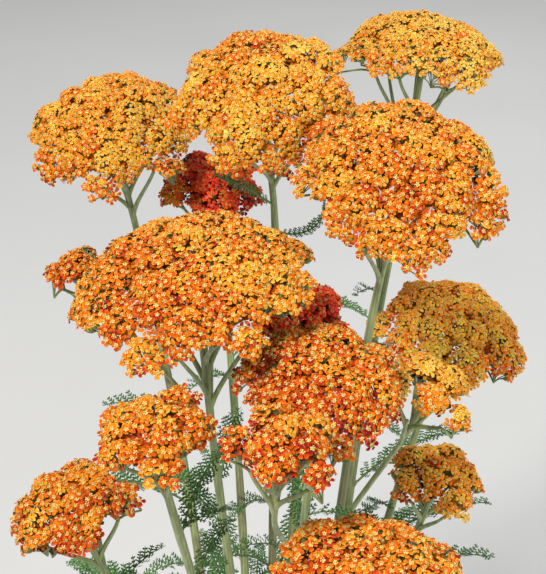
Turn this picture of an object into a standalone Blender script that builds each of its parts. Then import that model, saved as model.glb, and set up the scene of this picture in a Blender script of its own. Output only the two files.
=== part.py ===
"""Yarrow plant with domed orange flower heads, standing in a plain clay pot of soil.

Metres, +Z up. The origin is the middle of the pot's flat underside, and -Y is the side that is
seen from the front. Each leafy stem, each flower head, the soil and the pot are separate solids.
"""

import math
import random

import bpy
from mathutils import Vector
from mathutils.bvhtree import BVHTree

MM = 0.001
GAP = 0.3 * MM

# Pot: a plain thrown clay pot with a collar and three drainage holes.
POT_HEIGHT = 165 * MM
POT_FOOT_RADIUS = 66 * MM
POT_RIM_RADIUS = 103 * MM
POT_COLLAR_HEIGHT = 34 * MM
POT_COLLAR_STEP = 4.5 * MM
POT_WALL = 7 * MM
POT_FLOOR = 9 * MM
POT_SIDES = 32
DRAIN_COUNT = 3
DRAIN_RADIUS = 6 * MM
DRAIN_CIRCLE = 36 * MM

# Soil: it fills the pot to a little below the rim.
SOIL_DEPTH_BELOW_RIM = 17 * MM
SOIL_MOUND = 5 * MM
SOIL_TOP = POT_HEIGHT - SOIL_DEPTH_BELOW_RIM
STEM_ROOT = 22 * MM

# Stems and branches.
STEM_BASE_RADIUS = 2.5 * MM
STEM_TOP_RADIUS = 1.65 * MM
BRANCH_RADIUS = 1.25 * MM
BRANCH_TIP_RADIUS = 0.85 * MM
STEM_FAN = 0.42
FORK_DROP = 1.42
SHOOT_DROP = 62 * MM
STEM_SIDES = 6
BRANCH_SIDES = 4

# Flower heads: the dome, and the florets that cover it.
DOME_SHARE = 0.42
DOME_POWER = 2.2
LOBE_BUMP = 0.06
CORE_TOP_DROP = 4.8 * MM
CORE_UNDER_DROP = 11 * MM
FLORET_RISE = 1.2 * MM
FLORET_ROOT_DROP = 8.6 * MM
FLORET_ROOT_SHARE = 0.72
GOLDEN_ANGLE = math.pi * (3 - math.sqrt(5))

# Leaves: arched blades cut to the rib, as (share of the stem's height, length in mm, leaflet pairs).
LEAF_ROUNDS = (
    (0.03, 142, 6),
    (0.11, 116, 5),
    (0.26, 98, 5),
    (0.43, 76, 5),
    (0.66, 44, 4),
)
LEAF_THICKNESS = 0.9 * MM
RIB_HALF_WIDTH = 0.9 * MM

# Name, middle of the rim (mm), radius (mm), lean to the front and to the right (degrees),
# colour, and the stem that carries the head where it is not its own.
HEADS = (
    ("top", (-4, 38, 546), 46, 28, -4, "orange", None),
    ("left_top", (-79, 73, 519), 42, 24, -6, "orange", None),
    ("right", (54, -30, 535), 47, 26, 5, "orange", None),
    ("left", (-31, -60, 500), 53, 8, -3, "orange", None),
    ("back_right", (81, 157, 530), 47, 0, 6, "orange", None),
    ("red_back", (-31, 81, 486), 27, 22, -4, "red", None),
    ("centre", (19, -92, 473), 36, 14, 4, "orange", None),
    ("red_centre", (13, -12, 461), 25, 12, 0, "red", None),
    ("centre_shoot", (67, -61, 452), 22, 14, 20, "orange", "centre"),
    ("front_left", (-46, -127, 472), 26, 15, -8, "orange", None),
    ("front_shoot", (4, -145, 478), 23, 12, 6, "orange", "centre"),
    ("right_low", (93, 69, 408), 41, 16, 10, "orange", None),
    ("left_low", (-84, -87, 408), 29, 14, -14, "orange", None),
    ("front_low", (35, -166, 428), 40, 10, 6, "orange", None),
    ("right_small", (76, -34, 388), 24, 10, 12, "orange", None),
    ("left_small", (-93, 14, 475), 15, 6, -12, "orange", "left_top"),
)


class Head:
    """The dome of one flower head: its place, its lobed outline and its top surface."""

    def __init__(self, name, centre, radius, lean_front, lean_right, colour, carrier, seed):
        self.name = name
        self.centre = Vector(centre) * MM
        self.radius = radius * MM
        self.colour = colour
        self.carrier = carrier or name
        self.seed = seed
        front = math.tan(math.radians(lean_front))
        right = math.tan(math.radians(lean_right))
        self.normal = Vector((right, -front, 1)).normalized()
        self.across = Vector((0, 1, 0)).cross(self.normal).normalized()
        self.along = self.normal.cross(self.across)
        self.dome = DOME_SHARE * self.radius
        self.lobes = self.make_lobes(random.Random(seed))

    def make_lobes(self, draw):
        """Round clusters (x, y, radius): one in the middle and a ring of them at the rim."""
        count = 7 if self.radius > 30 * MM else 5
        turn = draw.uniform(0, math.tau)
        lobes = [(0.0, 0.0, 0.62 * self.radius)]
        for i in range(count):
            angle = turn + math.tau * (i + draw.uniform(-0.16, 0.16)) / count
            out = draw.uniform(0.56, 0.64) * self.radius
            size = draw.uniform(0.34, 0.42) * self.radius
            lobes.append((out * math.cos(angle), out * math.sin(angle), size))
        return lobes

    def reach(self, angle):
        """How far the lobed outline lies from the middle in this direction."""
        ux, uy = math.cos(angle), math.sin(angle)
        furthest = 0.0
        for x, y, size in self.lobes:
            aside = x * uy - y * ux
            if abs(aside) < size:
                furthest = max(furthest, x * ux + y * uy + math.sqrt(size**2 - aside**2))
        return furthest

    def outline_angles(self):
        """Directions of the rim clusters and of the clefts between them, in order."""
        peaks = [math.atan2(y, x) for x, y, _ in self.lobes[1:]]
        turns = [(b - a) % math.tau for a, b in zip(peaks, peaks[1:] + peaks[:1])]
        return [a + turn * half for a, turn in zip(peaks, turns) for half in (0.0, 0.5)]

    def rise(self, x, y):
        """Height of the floret surface over the rim plane."""
        share = math.hypot(x, y) / self.radius
        bump = max(1 - ((x - lx) ** 2 + (y - ly) ** 2) / size**2 for lx, ly, size in self.lobes)
        return self.dome * (1 - share**DOME_POWER) + LOBE_BUMP * self.radius * max(0.0, bump)

    def point(self, x, y, drop=0.0):
        """A point of the floret surface, or that far below it, in the part's frame."""
        rise = self.rise(x, y) - drop
        return self.centre + self.across * x + self.along * y + self.normal * rise

    def axis(self, x, y):
        """Where a floret faces: the dome's normal, a little nearer to the head's own."""
        out = math.hypot(x, y)
        if out < 1e-6:
            return self.normal.copy()
        slope = 0.85 * DOME_POWER * self.dome / self.radius * (out / self.radius) ** (DOME_POWER - 1)
        outward = (self.across * x + self.along * y) / out
        return (self.normal + outward * slope).normalized()


def bezier(a, b, c, d, t):
    s = 1 - t
    return a * s**3 + b * (3 * s * s * t) + c * (3 * s * t * t) + d * t**3


def stem_line(head, heads, count):
    """Points of a stem from its root to the underside of its head, evenly in the parameter."""
    below = head.centre - head.normal * (FORK_DROP * head.radius)
    tip = head.point(0, 0, CORE_UNDER_DROP)
    if head.carrier == head.name:
        root = Vector((head.centre.x * STEM_FAN, head.centre.y * STEM_FAN, SOIL_TOP + 6 * MM))
        lift = 0.45 * (below.z - root.z)
        first = root + Vector((0, 0, lift))
    else:
        main = stem_line(next(h for h in heads if h.name == head.carrier), heads, 25)
        root = min(main, key=lambda p: abs(p.z - (head.centre.z - 3.2 * head.radius - SHOOT_DROP)))
        lift = 0.4 * (below.z - root.z)
        first = root + Vector((0, 0, lift * 0.8)) + (below - root) * 0.12
    second = below - head.normal * (0.4 * lift)
    steps = max(4, count - 3)
    curve = [bezier(root, first, second, below, i / steps) for i in range(steps + 1)]
    return curve + [below.lerp(tip, 0.5), tip]


def branch_line(head, line, index, count):
    """Points of one branch of a head, from the stem up to the underside of a lobe."""
    x, y, _ = head.lobes[1 + index]
    target = head.point(x * 1.02, y * 1.02, CORE_UNDER_DROP)
    share = 0.35 + 0.5 * ((index * 3) % count) / count
    below, tip = line[-3], line[-1]
    start = below.lerp(tip, share - 0.35)
    reach = (target - start).length
    outward = (target - start) - head.normal * (target - start).dot(head.normal)
    first = start + head.normal * (0.22 * reach) + outward * 0.35
    second = target - head.normal * (0.38 * reach)
    return [bezier(start, first, second, target, t) for t in (0.0, 0.3, 0.65, 1.0)]


def make_heads():
    return [Head(*row, seed=13 + 7 * i) for i, row in enumerate(HEADS)]


class Leaf:
    """An arched leaf: its midrib, its side direction and its half width along it."""

    def __init__(self, start, azimuth, length, lift, droop, pairs):
        self.start = start
        self.azimuth = azimuth
        self.length = length
        self.lift = lift
        self.droop = droop
        self.pairs = pairs
        self.side = Vector((-math.sin(azimuth), math.cos(azimuth), 0))
        self.half_width = 0.075 * length + 3.5 * MM

    def heading(self, share):
        pitch = self.lift - self.droop * share
        flat = Vector((math.cos(self.azimuth), math.sin(self.azimuth), 0))
        return flat * math.cos(pitch) + Vector((0, 0, math.sin(pitch)))

    def rib(self, stations):
        """Points of the midrib, from inside the stem to the tip."""
        step = self.length / stations
        points = [self.start.copy()]
        for i in range(stations):
            points.append(points[-1] + self.heading((i + 0.5) / stations) * step)
        return points

    def spread(self, share):
        """Half width of the blade at a share of its length: none on the stalk, most past the middle."""
        if share < 0.12:
            return 0.0
        return self.half_width * math.sin(math.pi * (0.16 + 0.78 * (share - 0.12) / 0.88)) ** 0.8


def obstacles(heads, lines):
    """Balls (point, radius, owner) that stand for the stems, branches and heads."""
    balls = []
    for head in heads:
        for a, b in zip(lines[head.name], lines[head.name][1:]):
            steps = max(1, round((b - a).length / (9 * MM)))
            for i in range(steps):
                balls.append((a.lerp(b, i / steps), 4 * MM, head.carrier))
        for ring in (0.0, 0.5, 0.92):
            count = 1 if ring == 0 else 12
            for i in range(count):
                angle = math.tau * i / count
                out = ring * head.reach(angle)
                place = head.point(out * math.cos(angle), out * math.sin(angle), 5 * MM)
                balls.append((place, 11 * MM, "head"))
        for i in range(len(head.lobes) - 1):
            branch = branch_line(head, lines[head.name], i, len(head.lobes) - 1)
            balls += [(p, 4 * MM, head.carrier) for p in branch[1:]]
    return balls


def clearance(leaf, owner, balls):
    """The least room round a leaf that would grow from the owner's stem."""
    room = 1.0
    for i, point in enumerate(leaf.rib(8)):
        if i == 0:
            continue
        width = leaf.spread(i / 8) * 0.9 + 1.5 * MM
        out = math.hypot(point.x, point.y)
        if point.z < POT_HEIGHT + 12 * MM and out > POT_RIM_RADIUS - 28 * MM:
            return -1.0
        if point.z < SOIL_TOP + 9 * MM:
            return -1.0
        for place, size, whose in balls:
            if whose == owner and i < 3:
                continue
            room = min(room, (point - place).length - size - width)
            if room < 0:
                return room
    return room


def grow_leaves(heads, lines, balls, draw):
    """Leaves of each stem, each turned to where it has the most room. Returns (stem name, leaf)."""
    grown = []
    carriers = [h for h in heads if h.carrier == h.name]
    for height, size, pairs in LEAF_ROUNDS:
        for head in carriers:
            line = lines[head.name]
            share = height + draw.uniform(-0.25, 0.25) * height
            place = line[0].lerp(line[1], 0.5)
            wanted = line[0].z + share * (line[-3].z - line[0].z)
            for a, b in zip(line, line[1:]):
                if a.z <= wanted <= b.z:
                    place = a.lerp(b, (wanted - a.z) / (b.z - a.z))
            length = (size + draw.uniform(-8, 8)) * MM
            outward = math.atan2(place.y, place.x)
            best, best_room = None, 0.4 * MM
            for k in range(16):
                azimuth = outward + math.tau * k / 16
                for lift in (62, 46, 76):
                    leaf = Leaf(place, azimuth, length, math.radians(lift), math.radians(lift + 12), pairs)
                    room = min(clearance(leaf, head.name, balls), 12 * MM)
                    room += 3 * MM * math.cos(azimuth - outward)
                    if room > best_room:
                        best, best_room = leaf, room
            if best is None or clearance(best, head.name, balls) < 0.4 * MM:
                continue
            grown.append((head.name, best))
            for i, point in enumerate(best.rib(8)):
                if i:
                    balls.append((point, best.spread(i / 8) * 0.9 + 1.5 * MM, head.name + "_leaf"))
    return grown


# Mesh building.


def material(name, colour, roughness):
    made = bpy.data.materials.new(name)
    made.use_nodes = True
    shader = made.node_tree.nodes["Principled BSDF"]
    shader.inputs["Base Color"].default_value = (*colour, 1)
    shader.inputs["Roughness"].default_value = roughness
    shader.inputs["Metallic"].default_value = 0.0
    return made


def add_object(name, points, faces, look=None):
    mesh = bpy.data.meshes.new(name)
    mesh.from_pydata([tuple(p) for p in points], [], faces)
    mesh.validate()
    if look:
        mesh.materials.append(look)
    made = bpy.data.objects.new(name, mesh)
    bpy.context.scene.collection.objects.link(made)
    return made


def tube(points, radii, sides):
    """Points and faces of a closed tube along a line, its rings carried without twist."""
    ring_x = Vector((1, 0, 0))
    verts, faces = [], []
    for i, point in enumerate(points):
        before = points[max(0, i - 1)]
        after = points[min(len(points) - 1, i + 1)]
        heading = (after - before).normalized()
        ring_x = (ring_x - heading * ring_x.dot(heading)).normalized()
        ring_y = heading.cross(ring_x)
        for k in range(sides):
            angle = math.tau * k / sides
            verts.append(point + (ring_x * math.cos(angle) + ring_y * math.sin(angle)) * radii[i])
    for i in range(len(points) - 1):
        for k in range(sides):
            a, b = i * sides + k, i * sides + (k + 1) % sides
            faces.append((a, b, b + sides, a + sides))
    faces.append(tuple(reversed(range(sides))))
    faces.append(tuple(range(len(verts) - sides, len(verts))))
    return verts, faces


def leaf_mesh(leaf):
    """Points and faces of a leaf: a rib with pointed leaflets, cut alike on both faces."""
    pairs = leaf.pairs
    rib = leaf.rib(pairs + 2)
    verts, faces = [], []
    half = LEAF_THICKNESS / 2

    def add(point, normal):
        verts.extend((point + normal * half, point - normal * half))
        return len(verts) - 2

    left, right, frames = [], [], []
    for i, point in enumerate(rib[:-1]):
        heading = leaf.heading(i / (pairs + 2))
        normal = heading.cross(leaf.side).normalized()
        width = RIB_HALF_WIDTH * (1 - 0.5 * i / (pairs + 2))
        left.append(add(point + leaf.side * width, normal))
        right.append(add(point - leaf.side * width, normal))
        frames.append((heading, normal))
    for i in range(pairs + 1):
        a, b, c, d = left[i], right[i], right[i + 1], left[i + 1]
        faces += [(a, b, c), (a, c, d), (a + 1, c + 1, b + 1), (a + 1, d + 1, c + 1)]
        if i == 0:
            faces += [(a, d, d + 1, a + 1), (b, b + 1, c + 1, c)]
            continue
        heading, normal = frames[i]
        step = (rib[i + 1] - rib[i]).length
        width = leaf.spread((i + 0.5) / (pairs + 2))
        middle = rib[i].lerp(rib[i + 1], 0.5) + heading * (0.45 * step) + normal * (0.12 * width)
        for edge, sign in ((left, 1), (right, -1)):
            tip = add(middle + leaf.side * (sign * width), normal)
            near, far = edge[i], edge[i + 1]
            if sign > 0:
                near, far = far, near
            faces += [(near, tip, far), (near + 1, far + 1, tip + 1)]
            faces += [(near, near + 1, tip + 1, tip), (tip, tip + 1, far + 1, far)]
    a, b = left[0], right[0]
    faces.append((a, a + 1, b + 1, b))
    a, b = left[-1], right[-1]
    tip = add(rib[-1], frames[-1][1])
    faces += [(a, b, tip), (a + 1, tip + 1, b + 1)]
    faces += [(b, b + 1, tip + 1, tip), (a, tip, tip + 1, a + 1)]
    return verts, faces


def floret_mesh(head, x, y, size, turn):
    """A five-petalled floret on the dome, its root sunk in the core."""
    axis = head.axis(x, y)
    side = axis.cross(head.along).normalized()
    other = axis.cross(side)
    middle = head.point(x, y)
    inner = FLORET_ROOT_SHARE
    verts = [middle + axis * FLORET_RISE, head.point(x * inner, y * inner, FLORET_ROOT_DROP)]
    faces = []
    for i in range(10):
        angle = turn + math.tau * i / 10
        tip = i % 2 == 0
        out = size if tip else 0.5 * size
        lift = 0.3 * MM if tip else -1.3 * MM
        verts.append(middle + (side * math.cos(angle) + other * math.sin(angle)) * out + axis * lift)
    for i in range(10):
        a, b = 2 + i, 2 + (i + 1) % 10
        faces.append((0, a, b))
        if i % 2 == 0:
            before = 2 + (i - 1) % 10
            faces += [(a, before, b), (before, 1, b)]
    return verts, faces


def core_mesh(head):
    """The closed pad under the florets, which follows the dome's lobed outline."""
    angles = head.outline_angles()
    count = len(angles)
    verts, faces = [head.point(0, 0, CORE_TOP_DROP)], []
    rings = ((0.5, CORE_TOP_DROP), (0.88, CORE_TOP_DROP), (0.64, CORE_UNDER_DROP))
    for share, drop in rings:
        for angle in angles:
            out = share * head.reach(angle)
            verts.append(head.point(out * math.cos(angle), out * math.sin(angle), drop))
    verts.append(head.point(0, 0, CORE_UNDER_DROP))
    last = len(verts) - 1
    for i in range(count):
        j = (i + 1) % count
        faces.append((0, 1 + i, 1 + j))
        for ring in (0, 1):
            a, b = 1 + ring * count + i, 1 + ring * count + j
            faces += [(a, a + count, b), (b, a + count, b + count)]
        faces.append((last, 1 + 2 * count + j, 1 + 2 * count + i))
    return verts, faces


def union(base, pieces):
    """Fuses the pieces into the base and removes them."""
    group = bpy.data.collections.new(base.name + "_pieces")
    bpy.context.scene.collection.children.link(group)
    for piece in pieces:
        bpy.context.scene.collection.objects.unlink(piece)
        group.objects.link(piece)
    join = base.modifiers.new("join", "BOOLEAN")
    join.operation = "UNION"
    join.operand_type = "COLLECTION"
    join.collection = group
    join.solver = "EXACT"
    bake(base)
    for piece in list(group.objects):
        bpy.data.objects.remove(piece)
    bpy.data.collections.remove(group)


def bake(obj):
    """Replaces the object's mesh by the one that its modifiers give."""
    bpy.context.view_layer.update()
    graph = bpy.context.evaluated_depsgraph_get()
    made = bpy.data.meshes.new_from_object(obj.evaluated_get(graph))
    obj.modifiers.clear()
    old = obj.data
    made.name = obj.name
    obj.data = made
    bpy.data.meshes.remove(old)


def cut(base, cutters):
    """Takes the cutters out of the base and removes them."""
    for cutter in cutters:
        hole = base.modifiers.new("hole", "BOOLEAN")
        hole.operation = "DIFFERENCE"
        hole.solver = "EXACT"
        hole.object = cutter
    bake(base)
    for cutter in cutters:
        bpy.data.objects.remove(cutter)


def trimmed(points, tree, radius):
    """The line with its end drawn back to a little over GAP short of the head's underside."""
    heading = (points[-1] - points[-2]).normalized()
    hit, normal, _, _ = tree.ray_cast(points[-2], heading)
    if hit is None:
        return points
    steep = max(0.3, abs(heading.dot(normal)))
    back = 1.25 * GAP + radius * math.sqrt(1 - steep**2) / steep
    return points[:-1] + [hit - heading * back]


def build_head(head, look):
    verts, faces = core_mesh(head)
    core = add_object("flower_head_" + head.name, verts, faces, look)
    tree = BVHTree.FromPolygons(verts, faces)
    pitch = 13.2 * MM + 0.12 * head.radius
    count = round(math.pi * head.radius**2 * 1.02 / (0.866 * pitch**2))
    draw = random.Random(head.seed + 1)
    florets = []
    for i in range(count):
        share = math.sqrt((i + 0.5) / count) * 0.9
        angle = i * GOLDEN_ANGLE + head.seed
        out = share * head.reach(angle)
        x, y = out * math.cos(angle), out * math.sin(angle)
        size = draw.uniform(0.45, 0.5) * pitch
        points, sides = floret_mesh(head, x, y, size, draw.uniform(0, math.tau))
        florets.append(add_object("floret", points, sides))
    union(core, florets)
    return core, tree


def taper(count, first, last):
    return [first + (last - first) * i / (count - 1) for i in range(count)]


def build_stem(owner, heads, lines, leaves, trees, look):
    """One leafy stem with the branches of every head that it carries."""
    main, others = None, []
    for head in [h for h in heads if h.carrier == owner.name]:
        line = trimmed(lines[head.name], trees[head.name], STEM_TOP_RADIUS)
        if head is owner:
            root = line[0]
            under = [root - Vector((0, 0, STEM_ROOT + 6 * MM)), root - Vector((0, 0, 2 * MM))]
            line = under + line[1:]
            radii = taper(len(line), STEM_BASE_RADIUS, STEM_TOP_RADIUS)
            radii[1] = radii[0]
            main = add_object("stem_" + owner.name, *tube(line, radii, STEM_SIDES), look)
        else:
            radii = taper(len(line), 0.8 * STEM_TOP_RADIUS, 0.8 * STEM_TOP_RADIUS)
            others.append(add_object("shoot", *tube(line, radii, STEM_SIDES - 1)))
        count = len(head.lobes) - 1
        for i in range(count):
            points = branch_line(head, lines[head.name], i, count)
            points = trimmed(points, trees[head.name], BRANCH_TIP_RADIUS)
            radii = taper(len(points), BRANCH_RADIUS, BRANCH_TIP_RADIUS)
            others.append(add_object("branch", *tube(points, radii, BRANCH_SIDES)))
    for name, leaf in leaves:
        if name == owner.name:
            others.append(add_object("leaf", *leaf_mesh(leaf)))
    union(main, others)


def turned(name, profile, sides, look):
    """A solid of revolution from (radius, height) pairs that run down its outer side."""
    verts, faces, rings = [], [], []
    for radius, height in profile:
        if radius == 0:
            rings.append([len(verts)] * sides)
            verts.append(Vector((0, 0, height)))
            continue
        rings.append(range(len(verts), len(verts) + sides))
        for k in range(sides):
            angle = math.tau * k / sides
            verts.append(Vector((radius * math.cos(angle), radius * math.sin(angle), height)))
    for upper, lower in zip(rings, rings[1:]):
        for k in range(sides):
            m = (k + 1) % sides
            corners = [upper[k], lower[k], lower[m], upper[m]]
            faces.append(tuple(dict.fromkeys(corners)))
    return add_object(name, verts, faces, look)


def pot_radius(height):
    """Outer radius of the pot's body at a height."""
    top = POT_RIM_RADIUS - POT_COLLAR_STEP
    return POT_FOOT_RADIUS + (top - POT_FOOT_RADIUS) * height / POT_HEIGHT


def build_pot(look):
    collar_foot = POT_HEIGHT - POT_COLLAR_HEIGHT
    profile = [
        (0, POT_FLOOR),
        (pot_radius(POT_FLOOR) - POT_WALL, POT_FLOOR),
        (pot_radius(POT_HEIGHT) - POT_WALL, POT_HEIGHT - 1.5 * MM),
        (pot_radius(POT_HEIGHT) - POT_WALL + 1.5 * MM, POT_HEIGHT),
        (POT_RIM_RADIUS - 2 * MM, POT_HEIGHT),
        (POT_RIM_RADIUS, POT_HEIGHT - 2.5 * MM),
        (POT_RIM_RADIUS - 3 * MM, collar_foot + 1.5 * MM),
        (pot_radius(collar_foot), collar_foot),
        (POT_FOOT_RADIUS + 1 * MM, 1.5 * MM),
        (POT_FOOT_RADIUS - 1.5 * MM, 0),
        (0, 0),
    ]
    pot = turned("pot", profile, POT_SIDES, look)
    cutters = []
    for i in range(DRAIN_COUNT):
        angle = math.tau * (i + 0.25) / DRAIN_COUNT
        x, y = DRAIN_CIRCLE * math.cos(angle), DRAIN_CIRCLE * math.sin(angle)
        ends = [Vector((x, y, -5 * MM)), Vector((x, y, POT_FLOOR + 5 * MM))]
        cutters.append(add_object("drain", *tube(ends, [DRAIN_RADIUS] * 2, 12)))
    cut(pot, cutters)
    return pot


def soil_height(x, y):
    """The soil's surface: a low mound with shallow hollows."""
    out = math.hypot(x, y) / POT_RIM_RADIUS
    wave = math.sin(x * 70 + 1.1) * math.cos(y * 85 + 0.4) + 0.5 * math.sin(x * 150 - y * 130)
    return SOIL_TOP - 2 * MM + SOIL_MOUND * (1 - out**2) * 0.6 + wave * 0.8 * MM


def build_soil(look, roots):
    floor = POT_FLOOR + GAP
    wall = pot_radius(SOIL_TOP) - POT_WALL - GAP * 2
    foot = pot_radius(floor) - POT_WALL - GAP * 2
    profile = [(0, SOIL_TOP)]
    profile += [(wall * share, SOIL_TOP) for share in (0.33, 0.66, 1.0)]
    profile += [(foot, floor), (0, floor)]
    soil = turned("soil", profile, POT_SIDES // 2, look)
    for vertex in soil.data.vertices:
        if vertex.co.z > SOIL_TOP - 1 * MM:
            vertex.co.z = soil_height(vertex.co.x, vertex.co.y)
    cutters = []
    hole_radius = STEM_BASE_RADIUS + GAP / math.cos(math.pi / STEM_SIDES)
    for root in roots:
        ends = [
            Vector((root.x, root.y, root.z - STEM_ROOT - 6 * MM - GAP)),
            Vector((root.x, root.y, root.z + 6 * MM)),
        ]
        cutters.append(add_object("hole", *tube(ends, [hole_radius] * 2, STEM_SIDES)))
    cut(soil, cutters)


def main():
    for old in list(bpy.data.objects):
        bpy.data.objects.remove(old)
    looks = {
        "orange": material("orange_petals", (0.87, 0.30, 0.03), 0.6),
        "red": material("red_petals", (0.62, 0.05, 0.03), 0.6),
        "green": material("stem_green", (0.20, 0.32, 0.10), 0.65),
        "clay": material("clay", (0.58, 0.27, 0.15), 0.85),
        "soil": material("soil", (0.07, 0.045, 0.03), 0.95),
    }
    heads = make_heads()
    lines = {head.name: stem_line(head, heads, 9) for head in heads}
    balls = obstacles(heads, lines)
    leaves = grow_leaves(heads, lines, balls, random.Random(5))
    trees = {}
    for head in heads:
        _, trees[head.name] = build_head(head, looks[head.colour])
    roots = []
    for head in heads:
        if head.carrier == head.name:
            build_stem(head, heads, lines, leaves, trees, looks["green"])
            roots.append(lines[head.name][0])
    build_pot(looks["clay"])
    build_soil(looks["soil"], roots)


main()
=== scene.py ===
"""Looks of the potted yarrow: true-size florets, feathery leaves, furrowed stems, clay and compost."""

import math
import random

import bpy
import numpy as np
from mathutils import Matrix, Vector

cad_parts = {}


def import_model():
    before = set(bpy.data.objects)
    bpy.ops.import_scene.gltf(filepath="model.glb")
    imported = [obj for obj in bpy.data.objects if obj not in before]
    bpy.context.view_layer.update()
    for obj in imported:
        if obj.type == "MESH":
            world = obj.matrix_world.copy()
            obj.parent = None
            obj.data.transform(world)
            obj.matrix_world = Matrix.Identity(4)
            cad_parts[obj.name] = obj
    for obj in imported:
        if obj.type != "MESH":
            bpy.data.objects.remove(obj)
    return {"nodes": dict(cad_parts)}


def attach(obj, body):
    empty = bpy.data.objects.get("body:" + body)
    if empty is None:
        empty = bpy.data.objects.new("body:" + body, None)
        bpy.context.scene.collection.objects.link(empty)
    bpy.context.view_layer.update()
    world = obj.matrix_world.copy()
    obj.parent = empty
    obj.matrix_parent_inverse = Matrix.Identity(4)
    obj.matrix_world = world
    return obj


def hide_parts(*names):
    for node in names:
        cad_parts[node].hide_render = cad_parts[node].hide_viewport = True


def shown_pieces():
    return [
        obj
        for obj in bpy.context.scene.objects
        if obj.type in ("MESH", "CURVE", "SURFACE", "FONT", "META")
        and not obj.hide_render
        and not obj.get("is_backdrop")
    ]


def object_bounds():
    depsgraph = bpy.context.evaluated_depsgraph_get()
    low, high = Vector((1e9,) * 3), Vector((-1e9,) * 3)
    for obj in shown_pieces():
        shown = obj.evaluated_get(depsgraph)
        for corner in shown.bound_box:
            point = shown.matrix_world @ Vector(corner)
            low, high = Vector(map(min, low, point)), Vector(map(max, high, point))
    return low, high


MM = 0.001

# Pot: a plain thrown clay pot with a collar and three drainage holes.
POT_HEIGHT = 165 * MM
POT_FOOT_RADIUS = 66 * MM
POT_RIM_RADIUS = 103 * MM
POT_COLLAR_HEIGHT = 34 * MM
POT_COLLAR_STEP = 4.5 * MM
POT_WALL = 7 * MM
POT_FLOOR = 9 * MM
DRAIN_COUNT = 3
DRAIN_RADIUS = 6 * MM
DRAIN_CIRCLE = 36 * MM

# Soil: it fills the pot to a little below the rim.
SOIL_DEPTH_BELOW_RIM = 17 * MM
SOIL_MOUND = 5 * MM
SOIL_TOP = POT_HEIGHT - SOIL_DEPTH_BELOW_RIM

# Stems and branches.
STEM_BASE_RADIUS = 2.5 * MM
STEM_TOP_RADIUS = 1.65 * MM
BRANCH_RADIUS = 1.25 * MM
STEM_FAN = 0.42
FORK_DROP = 1.42
SHOOT_DROP = 62 * MM

# Flower heads: the dome under the florets.
DOME_SHARE = 0.42
DOME_POWER = 2.2
LOBE_BUMP = 0.06
CORE_UNDER_DROP = 11 * MM
GOLDEN_ANGLE = math.pi * (3 - math.sqrt(5))

# Leaves: arched blades cut to the rib, as (share of the stem's height, length in mm, leaflet pairs).
# They are kept out of balls that stand for stems and heads, and a little off the soil and the pot.
LEAF_ROUNDS = (
    (0.03, 142, 6),
    (0.11, 116, 5),
    (0.26, 98, 5),
    (0.43, 76, 5),
    (0.66, 44, 4),
)
LEAF_STEPS = 8
LEAF_ROOM = 1.5 * MM
STEM_BALL = 4 * MM
STEM_BALL_STEP = 9 * MM
HEAD_BALL = 11 * MM

# Name, middle of the rim (mm), radius (mm), lean to the front and to the right (degrees),
# colour, and the stem that carries the head where it is not its own.
HEADS = (
    ("top", (-4, 38, 546), 46, 28, -4, "orange", None),
    ("left_top", (-79, 73, 519), 42, 24, -6, "orange", None),
    ("right", (54, -30, 535), 47, 26, 5, "orange", None),
    ("left", (-31, -60, 500), 53, 8, -3, "orange", None),
    ("back_right", (81, 157, 530), 47, 0, 6, "orange", None),
    ("red_back", (-31, 81, 486), 27, 22, -4, "red", None),
    ("centre", (19, -92, 473), 36, 14, 4, "orange", None),
    ("red_centre", (13, -12, 461), 25, 12, 0, "red", None),
    ("centre_shoot", (67, -61, 452), 22, 14, 20, "orange", "centre"),
    ("front_left", (-46, -127, 472), 26, 15, -8, "orange", None),
    ("front_shoot", (4, -145, 478), 23, 12, 6, "orange", "centre"),
    ("right_low", (93, 69, 408), 41, 16, 10, "orange", None),
    ("left_low", (-84, -87, 408), 29, 14, -14, "orange", None),
    ("front_low", (35, -166, 428), 40, 10, 6, "orange", None),
    ("right_small", (76, -34, 388), 24, 10, 12, "orange", None),
    ("left_small", (-93, 14, 475), 15, 6, -12, "orange", "left_top"),
)


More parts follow.
